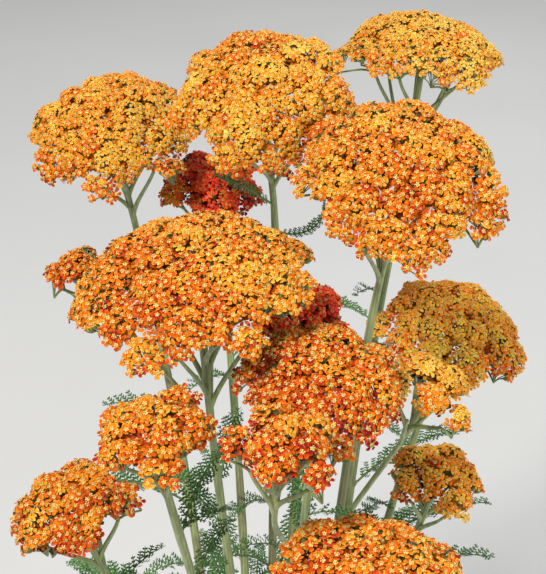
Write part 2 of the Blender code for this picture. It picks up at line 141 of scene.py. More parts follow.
class Head:
    """The dome of one flower head: its place, its lobed outline and its top surface."""

    def __init__(self, name, centre, radius, lean_front, lean_right, colour, carrier, seed):
        self.name = name
        self.centre = Vector(centre) * MM
        self.radius = radius * MM
        self.colour = colour
        self.carrier = carrier or name
        self.seed = seed
        front = math.tan(math.radians(lean_front))
        right = math.tan(math.radians(lean_right))
        self.normal = Vector((right, -front, 1)).normalized()
        self.across = Vector((0, 1, 0)).cross(self.normal).normalized()
        self.along = self.normal.cross(self.across)
        self.dome = DOME_SHARE * self.radius
        self.lobes = self.make_lobes(random.Random(seed))

    def make_lobes(self, draw):
        """Round clusters (x, y, radius): one in the middle and a ring of them at the rim."""
        count = 7 if self.radius > 30 * MM else 5
        turn = draw.uniform(0, math.tau)
        lobes = [(0.0, 0.0, 0.62 * self.radius)]
        for i in range(count):
            angle = turn + math.tau * (i + draw.uniform(-0.16, 0.16)) / count
            out = draw.uniform(0.56, 0.64) * self.radius
            size = draw.uniform(0.34, 0.42) * self.radius
            lobes.append((out * math.cos(angle), out * math.sin(angle), size))
        return lobes

    def reach(self, angle):
        """How far the lobed outline lies from the middle in this direction."""
        ux, uy = math.cos(angle), math.sin(angle)
        furthest = 0.0
        for x, y, size in self.lobes:
            aside = x * uy - y * ux
            if abs(aside) < size:
                furthest = max(furthest, x * ux + y * uy + math.sqrt(size**2 - aside**2))
        return furthest

    def rise(self, x, y):
        """Height of the floret surface over the rim plane."""
        share = math.hypot(x, y) / self.radius
        bump = max(1 - ((x - lx) ** 2 + (y - ly) ** 2) / size**2 for lx, ly, size in self.lobes)
        return self.dome * (1 - share**DOME_POWER) + LOBE_BUMP * self.radius * max(0.0, bump)

    def point(self, x, y, drop=0.0):
        """A point of the floret surface, or that far below it, in the part's frame."""
        rise = self.rise(x, y) - drop
        return self.centre + self.across * x + self.along * y + self.normal * rise

    def axis(self, x, y):
        """Where a floret faces: the dome's normal, a little nearer to the head's own."""
        out = math.hypot(x, y)
        if out < 1e-6:
            return self.normal.copy()
        slope = 0.85 * DOME_POWER * self.dome / self.radius * (out / self.radius) ** (DOME_POWER - 1)
        outward = (self.across * x + self.along * y) / out
        return (self.normal + outward * slope).normalized()


def bezier(a, b, c, d, t):
    s = 1 - t
    return a * s**3 + b * (3 * s * s * t) + c * (3 * s * t * t) + d * t**3


def stem_line(head, heads, count):
    """Points of a stem from its root to the underside of its head, evenly in the parameter."""
    below = head.centre - head.normal * (FORK_DROP * head.radius)
    tip = head.point(0, 0, CORE_UNDER_DROP)
    if head.carrier == head.name:
        root = Vector((head.centre.x * STEM_FAN, head.centre.y * STEM_FAN, SOIL_TOP + 6 * MM))
        lift = 0.45 * (below.z - root.z)
        first = root + Vector((0, 0, lift))
    else:
        main = stem_line(next(h for h in heads if h.name == head.carrier), heads, 25)
        root = min(main, key=lambda p: abs(p.z - (head.centre.z - 3.2 * head.radius - SHOOT_DROP)))
        lift = 0.4 * (below.z - root.z)
        first = root + Vector((0, 0, lift * 0.8)) + (below - root) * 0.12
    second = below - head.normal * (0.4 * lift)
    steps = max(4, count - 3)
    curve = [bezier(root, first, second, below, i / steps) for i in range(steps + 1)]
    return curve + [below.lerp(tip, 0.5), tip]


def branch_line(head, line, index, count):
    """Points of one branch of a head, from the stem up to the underside of a lobe."""
    x, y, _ = head.lobes[1 + index]
    target = head.point(x * 1.02, y * 1.02, CORE_UNDER_DROP)
    share = 0.35 + 0.5 * ((index * 3) % count) / count
    below, tip = line[-3], line[-1]
    start = below.lerp(tip, share - 0.35)
    reach = (target - start).length
    outward = (target - start) - head.normal * (target - start).dot(head.normal)
    first = start + head.normal * (0.22 * reach) + outward * 0.35
    second = target - head.normal * (0.38 * reach)
    return [bezier(start, first, second, target, t) for t in (0.0, 0.3, 0.65, 1.0)]


def make_heads():
    return [Head(*row, seed=13 + 7 * i) for i, row in enumerate(HEADS)]


class Leaf:
    """An arched leaf: its midrib, its side direction and its half width along it."""

    def __init__(self, start, azimuth, length, lift, droop, pairs):
        self.start = start
        self.azimuth = azimuth
        self.length = length
        self.lift = lift
        self.droop = droop
        self.pairs = pairs
        self.side = Vector((-math.sin(azimuth), math.cos(azimuth), 0))
        self.half_width = 0.075 * length + 3.5 * MM

    def heading(self, share):
        pitch = self.lift - self.droop * share
        flat = Vector((math.cos(self.azimuth), math.sin(self.azimuth), 0))
        return flat * math.cos(pitch) + Vector((0, 0, math.sin(pitch)))

    def rib(self, stations):
        """Points of the midrib, from inside the stem to the tip."""
        step = self.length / stations
        points = [self.start.copy()]
        for i in range(stations):
            points.append(points[-1] + self.heading((i + 0.5) / stations) * step)
        return points

    def spread(self, share):
        """Half width of the blade at a share of its length: none on the stalk, most past the middle."""
        if share < 0.12:
            return 0.0
        return self.half_width * math.sin(math.pi * (0.16 + 0.78 * (share - 0.12) / 0.88)) ** 0.8


def obstacles(heads, lines):
    """Balls (point, radius, owner) that stand for the stems, branches and heads."""
    balls = []
    for head in heads:
        for a, b in zip(lines[head.name], lines[head.name][1:]):
            steps = max(1, round((b - a).length / STEM_BALL_STEP))
            for i in range(steps):
                balls.append((a.lerp(b, i / steps), STEM_BALL, head.carrier))
        for ring in (0.0, 0.5, 0.92):
            count = 1 if ring == 0 else 12
            for i in range(count):
                angle = math.tau * i / count
                out = ring * head.reach(angle)
                place = head.point(out * math.cos(angle), out * math.sin(angle), 5 * MM)
                balls.append((place, HEAD_BALL, "head"))
        for i in range(len(head.lobes) - 1):
            branch = branch_line(head, lines[head.name], i, len(head.lobes) - 1)
            balls += [(p, STEM_BALL, head.carrier) for p in branch[1:]]
    return balls


def clearance(leaf, owner, balls):
    """The least room round a leaf that would grow from the owner's stem."""
    room = 1.0
    for i, point in enumerate(leaf.rib(LEAF_STEPS)):
        if i == 0:
            continue
        width = leaf.spread(i / LEAF_STEPS) * 0.9 + LEAF_ROOM
        out = math.hypot(point.x, point.y)
        if point.z < POT_HEIGHT + 12 * MM and out > POT_RIM_RADIUS - 28 * MM:
            return -1.0
        if point.z < SOIL_TOP + 9 * MM:
            return -1.0
        for place, size, whose in balls:
            if whose == owner and i < 3:
                continue
            room = min(room, (point - place).length - size - width)
            if room < 0:
                return room
    return room


def roomiest(leaves, owner, balls, least, outward=None):
    """Of some leaves, the one with the most room. An outward direction makes that way worth more."""
    best, best_room = None, least
    for leaf in leaves:
        room = clearance(leaf, owner, balls)
        if outward is not None:
            room = min(room, 12 * MM) + 3 * MM * math.cos(leaf.azimuth - outward)
        if room > best_room:
            best, best_room = leaf, room
    return best


def keep_clear(leaf, owner, balls, share):
    """Makes a grown leaf an obstacle for the next ones, as wide as a share of its blade."""
    for i, point in enumerate(leaf.rib(LEAF_STEPS)):
        if i:
            balls.append((point, leaf.spread(i / LEAF_STEPS) * share + LEAF_ROOM, owner + "_leaf"))


def place_on(line, share):
    """The point of a stem at a share of its height below the fork."""
    wanted = line[0].z + share * (line[-3].z - line[0].z)
    for a, b in zip(line, line[1:]):
        if a.z <= wanted <= b.z:
            return a.lerp(b, (wanted - a.z) / (b.z - a.z))
    return line[-3]


def leaf_at(place, azimuth, length, lift, droop, pairs):
    """A leaf whose lift and droop are given in degrees."""
    return Leaf(place, azimuth, length, math.radians(lift), math.radians(droop), pairs)


def grow_leaves(stems, lines, balls, draw):
    """Leaves of each stem, each turned to where it has the most room. Returns (stem name, leaf)."""
    grown, least = [], 0.4 * MM
    for height, size, pairs in LEAF_ROUNDS:
        for stem in stems:
            share = height + draw.uniform(-0.25, 0.25) * height
            place = place_on(lines[stem.name], share)
            length = (size + draw.uniform(-8, 8)) * MM
            outward = math.atan2(place.y, place.x)
            options = [
                leaf_at(place, outward + math.tau * k / 16, length, lift, lift + 12, pairs)
                for k in range(16)
                for lift in (62, 46, 76)
            ]
            best = roomiest(options, stem.name, balls, least, outward)
            if best is None or clearance(best, stem.name, balls) < least:
                continue
            grown.append((stem.name, best))
            keep_clear(best, stem.name, balls, 0.9)
    return grown


def pot_radius(height):
    """Outer radius of the pot's body at a height."""
    top = POT_RIM_RADIUS - POT_COLLAR_STEP
    return POT_FOOT_RADIUS + (top - POT_FOOT_RADIUS) * height / POT_HEIGHT


def soil_height(x, y):
    """The soil's surface: a low mound with shallow hollows."""
    out = math.hypot(x, y) / POT_RIM_RADIUS
    wave = math.sin(x * 70 + 1.1) * math.cos(y * 85 + 0.4) + 0.5 * math.sin(x * 150 - y * 130)
    return SOIL_TOP - 2 * MM + SOIL_MOUND * (1 - out**2) * 0.6 + wave * 0.8 * MM


# Florets: distances apart and shapes in millimetres.
FLORET_PITCH = 3.9
UNDER_PITCH = 4.1
CLUSTER_PITCH = 15.0
DISC_RADIUS = 0.9
DISC_SIDES = 6
STAR_CORNERS = 10
CUP_SIDES = 5
# Points of a petal in rows from its foot to its tip: out, across and up, how far the curl lifts it,
# and how near it is to the tip and to the edge.
PETAL_ROWS = (3, 4, 5)
PETAL = np.array(
    (
        (0.70, -0.40, 0.10, 0.0, 0.0, 0.3),
        (0.70, 0.0, 0.22, 0.0, 0.0, 0.0),
        (0.70, 0.40, 0.10, 0.0, 0.0, 0.3),
        (1.95, -1.14, 0.10, 0.35, 0.6, 1.0),
        (1.95, -0.80, 0.42, 0.35, 0.5, 0.0),
        (1.95, 0.80, 0.42, 0.35, 0.5, 0.0),
        (1.95, 1.14, 0.10, 0.35, 0.6, 1.0),
        (2.36, -0.90, -0.032, 1.0, 1.0, 1.0),
        (2.44, -0.40, 0.108, 1.0, 1.0, 0.7),
        (2.76, 0.0, 0.22, 1.0, 1.0, 1.0),
        (2.44, 0.40, 0.108, 1.0, 1.0, 0.7),
        (2.36, 0.90, -0.032, 1.0, 1.0, 1.0),
    )
)
# Blade of a lower floret: out, aside (radians), how far the curl lifts it, nearness to the tip.
BLADE = (
    (0.2, 0.0, 0.1, 0.0),
    (1.9, -0.50, 0.0, 0.6),
    (2.8, -0.22, 1.0, 1.0),
    (2.8, 0.22, 1.0, 1.0),
    (1.9, 0.50, 0.0, 0.6),
)
# Rings of the green cups and buds: radius, height and tone. The tone is painted shade, darkest at the top
# under the petals.
OUTER_CUP = ((1.1, 0.1, 0.6), (1.5, -1.5, 1.15), (1.3, -3.1, 1.0), (0.4, -4.3, 0.8))
INNER_CUP = ((1.5, -0.2, 0.7), (0.45, -4.3, 0.9))
BUD = ((1.7, 0.4, 0.45), (0.5, -3.4, 0.9))
# Shares of the head's radius: how far the lower florets and the buds among them go.
UNDER_SHARE = 0.89
BUD_SHARE = 0.7
CUP_DEPTH = 4.2 * MM
CLUSTER_DEPTH = 11.5 * MM

# How far each head has faded from crimson (0) to yellow-orange (1).
FADE = dict(
    top=0.82, left_top=0.80, right=0.68, left=0.69, back_right=0.95, red_back=0.24, centre=0.52,
    red_centre=0.18, centre_shoot=0.90, front_left=0.64, front_shoot=0.50, right_low=0.82,
    left_low=0.60, front_low=0.60, right_small=0.78, left_small=0.55,
)
FADE_STEPS = np.array((-0.3, 0.0, 0.22, 0.45, 0.7, 1.0, 1.3, 1.6))
FADE_COLOURS = np.array(
    (
        (0.15, 0.003, 0.006),
        (0.36, 0.006, 0.010),
        (0.58, 0.026, 0.007),
        (0.77, 0.100, 0.005),
        (0.88, 0.225, 0.006),
        (0.94, 0.42, 0.012),
        (0.98, 0.64, 0.085),
        (1.0, 0.82, 0.25),
    )
)
# How much paler the edges of the petals are, and how the colour varies over and within heads.
EDGE_FADE = {"orange": 0.52, "red": 0.26}
DRIFT_FADE = 0.10
FLORET_FADE = 0.12
PETAL_FADE = 0.06
YOUNG_SHARE = 0.035
YOUNG_FADE = 0.42
RIM_SHARE = 0.72
RIM_FADE = 0.48
# How far florets draw together to their bunch. A loose head shows its stalks between the bunches.
GATHER = 0.08
LOOSE_GATHER = {"centre_shoot": 0.2, "front_shoot": 0.15}
# Where the cups are whole and the floret stalks bent, as shares of the head's radius.
OUTER_SHARE = 0.7
BENT_SHARE = 0.6
# Petals of the kinds of florets, and how many of the eyes are old in a head.
PETAL_COUNTS = (5, 5, 5, 5, 4, 6, 5, 5, 4, 5)
OLD_EYES = {"orange": 0.02, "red": 0.6}
# How far apart the florets' faces point, and how much the middle of a bunch stands up (mm).
FLORET_WOBBLE = 0.13
BUNCH_LIFT = 1.9
# Heads that stand in the shade of others and still look bright in the photo.
# Their colours are raised by these gains: painted light against the shade of the other heads.
PAINTED_LIGHT_GAIN = {"red_back": 2.4, "red_centre": 1.7, "right_low": 1.25, "right_small": 1.2}
DISC_COLOUR = np.array((1.0, 0.80, 0.25))
OLD_DISC_COLOUR = {"orange": np.array((0.72, 0.34, 0.05)), "red": np.array((0.80, 0.15, 0.03))}
CUP_COLOUR = np.array((0.23, 0.28, 0.08))
STALK_COLOUR = np.array((0.29, 0.36, 0.12))
STEM_COLOUR = np.array((0.33, 0.39, 0.155))
STEM_BROWN = np.array((0.24, 0.13, 0.09))
LEAF_COLOUR = np.array((0.042, 0.135, 0.028))
LEAF_PALE = np.array((0.16, 0.28, 0.085))

# Fine parts of the stems and leaves.
BRANCH_END_RADIUS = 0.75 * MM
RIB_STEPS = 24
LEAFLET_PITCH = 4.3
LEAFLET_HALF_WIDTH = 0.45 * MM

# The soil's surface: the tints of crumbs, white grit and bark, how many and how common they are,
# their sizes (mm), how much room they leave round a stem, and how finely the ground is laid out.
CRUMB_TINT = np.full(3, 0.0625)
GRIT_TINT = np.array((0.8125, 0.7875, 0.7375))
BARK_TINT = np.array((0.2375, 0.14375, 0.075))
CRUMBS = 1150
GRIT_SHARE = 0.07
BARK_SHARE = 0.10
CRUMB_SIZES = (0.7, 0.9, 1.2, 1.6, 2.3)
BARK_SHAPE = (2.6, 0.8, 0.45)
ROOT_ROOM = 4.5 * MM
SOIL_SKIN = 1.0 * MM
SOIL_RINGS = 46
SOIL_SIDES = 150
SOIL_WAVES = 14


class Soup:
    """Collects points, triangles and a tint for each point, for one mesh."""

    def __init__(self):
        self.points = []
        self.faces = []
        self.tints = []
        self.count = 0

    def add(self, points, faces, tints):
        points = np.asarray(points, float).reshape(-1, 3)
        tints = np.broadcast_to(np.asarray(tints, float), points.shape)
        self.points.append(points)
        self.faces.append(np.asarray(faces, np.int64).reshape(-1, 3) + self.count)
        self.tints.append(tints)
        self.count += len(points)

    def build(self, name, look, slot, smooth=True):
        points = np.concatenate(self.points).astype(np.float32)
        faces = np.concatenate(self.faces).astype(np.int32)
        tints = np.concatenate(self.tints).clip(0, 1).astype(np.float32)
        mesh = bpy.data.meshes.new(name)
        mesh.vertices.add(len(points))
        mesh.vertices.foreach_set("co", points.ravel())
        mesh.loops.add(faces.size)
        mesh.loops.foreach_set("vertex_index", faces.ravel())
        mesh.polygons.add(len(faces))
        mesh.polygons.foreach_set("loop_start", np.arange(0, faces.size, 3, dtype=np.int32))
        mesh.polygons.foreach_set("use_smooth", np.full(len(faces), smooth))
        layer = mesh.color_attributes.new("tint", "FLOAT_COLOR", "POINT")
        rgba = np.concatenate([tints, np.ones((len(tints), 1), np.float32)], axis=1)
        layer.data.foreach_set("color", rgba.ravel())
        mesh.update(calc_edges=True)
        mesh.validate()
        mesh.materials.append(look)
        made = put(name, mesh)
        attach(made, "root")
        return made


def array(vector):
    return np.array((vector.x, vector.y, vector.z))


def unit(vector):
    return vector / np.linalg.norm(vector)


def put(name, data):
    """Links a new object to the scene."""
    made = bpy.data.objects.new(name, data)
    bpy.context.scene.collection.objects.link(made)
    return made


def around(out, angle, height):
    """The point at a distance from the upright axis, in a direction and at a height."""
    return out * math.cos(angle), out * math.sin(angle), height


def ring_quads(rings, sides):
    """Corners a, b, c and d of the fields between rings of points: b is beside a, and d is above it."""
    a = np.arange((rings - 1) * sides)
    b = a // sides * sides + (a + 1) % sides
    return a, b, b + sides, a + sides


def triangles(*corners):
    """Two triangles to a field, from six rows of corners."""
    return np.stack(corners, 1).reshape(-1, 3)


def headings_of(line):
    """The direction of a line at each of its points."""
    headings = np.gradient(line, axis=0)
    return headings / np.linalg.norm(headings, axis=1)[:, None]


def scatter(draw, spread):
    return np.array([draw.gauss(0, spread) for _ in range(3)])


def fade_colour(fade):
    """Petal colour at each stage of fading."""
    fade = np.asarray(fade, float)
    return np.stack([np.interp(fade, FADE_STEPS, FADE_COLOURS[:, i]) for i in range(3)], axis=-1)


def fan_strip(rows):
    """Triangles between rows of points that may differ in number."""
    faces, start = [], 0
    for here, above in zip(rows, rows[1:]):
        a, b = 0, 0
        base, top = start, start + here
        while a < here - 1 or b < above - 1:
            if b >= above - 1 or (a < here - 1 and (a + 1) * (above - 1) <= (b + 1) * (here - 1)):
                faces.append((base + a, base + a + 1, top + b))
                a += 1
            else:
                faces.append((base + a, top + b + 1, top + b))
                b += 1
        start += here
    return faces


def ray_template(draw, count):
    """One floret's petals: points (mm), faces, and for each point how near it is to the tip and edge."""
    points, faces = [], []
    strip = np.array(fan_strip(PETAL_ROWS))
    foot, rims, edges = PETAL[0, 0], PETAL[:, 4], PETAL[:, 5]
    for i in range(count):
        angle = math.tau * (i + draw.uniform(-0.11, 0.11)) / count
        long = draw.uniform(0.86, 1.1)
        wide = draw.uniform(0.74, 0.98) * (5 / count) ** 0.6
        curl = draw.uniform(-1.25, 0.65)
        twist = draw.uniform(-0.45, 0.45)
        out = foot + (PETAL[:, 0] - foot) * long
        across = PETAL[:, 1] * wide
        up = PETAL[:, 2] + curl * PETAL[:, 3] + twist * across * (out - foot)
        cos, sin = math.cos(angle), math.sin(angle)
        points.append(np.stack([out * cos - across * sin, out * sin + across * cos, up], 1))
        faces.append(strip + i * len(PETAL))
    return np.concatenate(points), np.concatenate(faces), np.tile(rims, count), np.tile(edges, count)


def bud_template(draw):
    """Petals of a floret that stands lower: five plain blades, and how near each point is to a tip."""
    points, faces = [], []
    for i in range(5):
        angle = math.tau * (i + draw.uniform(-0.12, 0.12)) / 5
        curl = draw.uniform(-1.1, 0.5)
        long = draw.uniform(0.88, 1.08)
        start = len(points)
        points += [around(out * long, angle + aside, 0.2 + curl * up) for out, aside, up, _ in BLADE]
        faces += [(start + k, start + k + 1, start + 4) for k in range(3)]
    return np.array(points), np.array(faces), np.tile([row[3] for row in BLADE], 5)


def disc_template(draw):
    """The floret's eye: a low cushion with an open star in the middle and small cups round it."""
    points = [around(DISC_RADIUS, math.tau * k / DISC_SIDES, 0.1) for k in range(DISC_SIDES)]
    points.append((0.0, 0.0, 0.62))
    # depth is painted shade: darker on the cushion and in the sunk middles of the star and the cups, full
    # at their tips.
    depth = [0.72] * DISC_SIDES + [0.85]
    faces = [(k, (k + 1) % DISC_SIDES, DISC_SIDES) for k in range(DISC_SIDES)]
    sites = [(0.12, draw.uniform(0, math.tau), 0.92, STAR_CORNERS)]
    start = draw.uniform(0, math.tau)
    for i in range(5):
        angle = start + math.tau * (i + draw.uniform(-0.15, 0.15)) / 5
        sites.append((draw.uniform(0.62, 0.82), angle, draw.uniform(0.55, 0.8), 5))
    for out, angle, height, corners in sites:
        centre = np.array(around(out, angle, height))
        axis = unit(np.array(around(out / 1.4, angle, 1.0)))
        side = unit(np.cross(axis, (0.3, 0.9, 0.1)))
        other = np.cross(axis, side)
        base = len(points)
        points.append(centre - axis * 0.22)
        depth.append(0.66)
        turn = draw.uniform(0, math.tau)
        star = corners == STAR_CORNERS
        for k in range(corners):
            reach, up, tone = (0.20, 0.02, 0.85) if star and k % 2 else (0.42 if star else 0.34, 0.1, 1.0)
            aim = turn + k * math.tau / corners
            points.append(centre + (side * math.cos(aim) + other * math.sin(aim)) * reach + axis * up)
            depth.append(tone)
        faces += [(base, base + 1 + k, base + 1 + (k + 1) % corners) for k in range(corners)]
    return np.array(points), np.array(faces), np.array(depth)


def cup_template(rings):
    """A green cup or bud: points (mm), faces and the tone of each point, which is painted shade."""
    points, shade = [], []
    for radius, height, tone in rings:
        points += [around(radius, math.tau * k / CUP_SIDES, height) for k in range(CUP_SIDES)]
        shade += [tone] * CUP_SIDES
    a, b, c, d = ring_quads(len(rings), CUP_SIDES)
    return np.array(points), triangles(a, d, b, b, d, c), np.array(shade)


def tube_into(soup, line, radii, sides, tints, flute=0.0):
    """A tube along a line, its rings carried without twist. flute gives it lengthwise furrows, with painted
    shade in the furrows and painted light on the ridges.
    """
    line = np.asarray(line, float)
    headings = headings_of(line)
    spokes = np.arange(sides)
    angles = math.tau * spokes / sides
    depth = 1 + flute * np.where(spokes % 2 == 0, 1.0, -1.0)
    ring_x = np.array((1.0, 0.02, 0.0))
    rings = []
    for place, heading, radius in zip(line, headings, radii):
        ring_x = unit(ring_x - heading * (ring_x @ heading))
        ring_y = np.cross(heading, ring_x)
        ring = np.outer(np.cos(angles), ring_x) + np.outer(np.sin(angles), ring_y)
        rings.append(place + ring * (radius * depth)[:, None])
    a, b, c, d = ring_quads(len(line), sides)
    last = (len(line) - 1) * sides
    cap = np.stack([np.full(sides - 2, last), last + spokes[1:-1], last + spokes[2:]], 1)
    tints = np.broadcast_to(np.asarray(tints, float), line.shape)[:, None, :]
    # Ridge points are painted lighter and furrow points darker: painted light and shade.
    painted_ridge_and_furrow_shade = np.where(spokes % 2 == 0, 1 + 1.6 * flute, 1 - 3.4 * flute)[None, :, None]
    faces = np.concatenate([triangles(a, b, c, a, c, d), cap])
    soup.add(np.concatenate(rings), faces, (tints * painted_ridge_and_furrow_shade).reshape(-1, 3))


def smooth_line(points, steps):
    """A smooth curve through points, in so many steps from each to the next."""
    points = [np.asarray(p, float) for p in points]
    padded = [2 * points[0] - points[1], *points, 2 * points[-1] - points[-2]]
    made = []
    for i in range(len(points) - 1):
        p0, p1, p2, p3 = padded[i : i + 4]
        for s in range(steps):
            t = s / steps
            made.append(
                0.5 * ((2 * p1) + (p2 - p0) * t + (2 * p0 - 5 * p1 + 4 * p2 - p3) * t * t)
                + 0.5 * (3 * p1 - p0 - 3 * p2 + p3) * t**3
            )
    made.append(points[-1])
    return np.array(made)


def surface_shares(head, count):
    """Radial shares that spread points evenly over the dome's surface and not over its plan."""
    shares = np.linspace(0, 1, 200)
    slope = DOME_POWER * head.dome / head.radius * shares ** (DOME_POWER - 1)
    area = np.concatenate([[0], np.cumsum(shares[1:] * np.sqrt(1 + slope[1:] ** 2))])
    wanted = (np.arange(count) + 0.5) / count * area[-1]
    return np.interp(wanted, area, shares), area[-1] / 199


def spiral_sites(head, pitch, draw, jitter):
    """Places (x, y in metres) spread over the lobed dome at about this pitch (mm)."""
    _, total = surface_shares(head, 1)
    outline = np.mean([head.reach(a) ** 2 for a in np.linspace(0, math.tau, 60)]) / head.radius**2
    area = math.tau * total * outline * (head.radius / MM) ** 2
    count = max(3, round(area / (0.866 * pitch**2)))
    shares, _ = surface_shares(head, count)
    sites = []
    for i, share in enumerate(shares):
        angle = i * GOLDEN_ANGLE + head.seed
        out = share * head.reach(angle) * 0.985
        x = out * math.cos(angle) + draw.gauss(0, jitter) * MM
        y = out * math.sin(angle) + draw.gauss(0, jitter) * MM
        sites.append((x, y))
    return np.array(sites)


def branch_curve(head, line, index):
    """A branch as the solid has it, smoother, and ended where it splits into finer stalks."""
    start, _, _, target = branch_line(head, line, index, len(head.lobes) - 1)
    reach = (target - start).length
    outward = (target - start) - head.normal * (target - start).dot(head.normal)
    first = start + head.normal * (0.30 * reach) + outward * 0.22
    second = target - head.normal * (0.34 * reach) - outward * 0.10
    return [bezier(start, first, second, target, 0.8 * i / 7) for i in range(8)]


def turned_frame(axis, turn):
    """Two directions across an axis, turned about it by an angle."""
    side = unit(np.cross(axis, (0.2, 0.1, 1.0) if abs(axis[2]) < 0.9 else (1.0, 0.1, 0.0)))
    other = np.cross(axis, side)
    cos, sin = math.cos(turn), math.sin(turn)
    return side * cos + other * sin, other * cos - side * sin


def under_florets(head, clusters, rays, stalks, draw):
    """What fills the gaps: petals of the florets that stand lower, and the green buds under them, darkened
    with painted shade.
    """
    kinds = [bud_template(draw) for _ in range(5)]
    bud, bud_faces, bud_painted_shade = cup_template(BUD)
    widest = 1.1 - LOOSE_GATHER[head.name] if head.name in LOOSE_GATHER else math.inf
    for i, (x, y) in enumerate(spiral_sites(head, UNDER_PITCH, draw, 0.5) * UNDER_SHARE):
        near, gap = clusters.nearest(x, y)
        if gap > widest:
            continue
        x, y = (x, y) + clusters.push[near] * 0.6
        axis = unit(array(head.axis(x, y)) + scatter(draw, 0.25))
        side, other = turned_frame(axis, draw.uniform(0, math.tau))
        grip = np.stack([side, other, axis]) * MM
        place = array(head.point(x, y, draw.uniform(2.0, 3.4) * MM - clusters.lift[near] * 0.8))
        points, faces, rims = kinds[draw.randrange(len(kinds))]
        # The lower petals are turned redder and darkened: painted shade under the upper florets, less of it
        # towards their tips.
        tone = FADE[head.name] - 0.26 + draw.gauss(0, 0.10) + 0.22 * rims
        tint = fade_colour(tone) * (draw.uniform(0.5, 0.8) + 0.15 * rims[:, None])
        rays.add(place + points @ grip, faces, tint)
        if i % 2 and math.hypot(x, y) < BUD_SHARE * head.radius:
            lower = place - axis * draw.uniform(2.0, 3.5) * MM + (side + other) * 1.4 * MM
            # Their buds are darkened as well: painted shade.
            stalks.add(lower + bud @ (grip * 1.25), bud_faces, CUP_COLOUR * 0.8 * bud_painted_shade[:, None])


class Clusters:
    """The small bunches of a head: where each one stands, how far it juts and the node under it."""

    def __init__(self, head, draw):
        self.places = spiral_sites(head, CLUSTER_PITCH, draw, 1.2)
        out = np.linalg.norm(self.places, axis=1)
        far = np.array([head.reach(math.atan2(y, x)) for x, y in self.places])
        jut = np.array([draw.uniform(-0.8, 3.0) for _ in out]) * min(MM, head.radius / 36)
        jut *= np.clip(out / far - 0.45, 0, 0.5) * 2
        self.push = self.places / out[:, None] * jut[:, None]
        self.lift = np.array([draw.gauss(0, 0.75) for _ in out]) * MM
        self.shade = np.array([draw.gauss(0, 0.07) for _ in out])
        self.nodes = []
        for place, push, lift in zip(self.places, self.push, self.lift):
            x, y = place * 0.93 + push
            self.nodes.append(array(head.point(x, y, CLUSTER_DEPTH - lift)))

    def nearest(self, x, y):
        """The bunch nearest to a place, and how far off it is in half pitches."""
        gaps = np.hypot(self.places[:, 0] - x, self.places[:, 1] - y)
        near = int(np.argmin(gaps))
        return near, gaps[near] / (0.5 * CLUSTER_PITCH * MM)


def stand_floret(head, clusters, x, y, draw):
    """Where a floret of a bunch stands and how it is turned: its bunch, place, axis and frame."""
    near, gap = clusters.nearest(x, y)
    gather = LOOSE_GATHER.get(head.name, GATHER)
    pull = gather * (clusters.places[near] - (x, y)) + clusters.push[near]
    axis = array(head.axis(x, y))
    lean = (array(head.point(x, y)) - array(head.point(*clusters.places[near]))) / (9 * MM)
    axis = unit(axis + (lean - axis * (lean @ axis)) * 0.5 + scatter(draw, FLORET_WOBBLE))
    lift = (BUNCH_LIFT * (1 - min(gap, 1.3) ** 2) + draw.uniform(-0.6, 0.6)) * MM
    place = array(head.point(x + pull[0], y + pull[1])) + axis * (lift + clusters.lift[near])
    side, other = turned_frame(axis, draw.uniform(0, math.tau))
    grip = np.stack([side, other, axis]) * MM * draw.uniform(0.9, 1.08)
    return near, place, axis, grip


def floret_fade(head, shade, u, v, wave, draw):
    """How far a floret has faded: by head and bunch, in drifts over the head, and by itself."""
    drift = math.sin(3.1 * u + wave[0]) * math.cos(2.7 * v + wave[1])
    drift += 0.6 * math.sin(6.3 * u + wave[2]) * math.sin(5.9 * v + wave[3])
    fade = FADE[head.name] + DRIFT_FADE * drift + shade + draw.gauss(0, FLORET_FADE)
    fade -= RIM_FADE * max(0.0, math.hypot(u, v) - RIM_SHARE)
    return fade - YOUNG_FADE if draw.random() < YOUNG_SHARE else fade


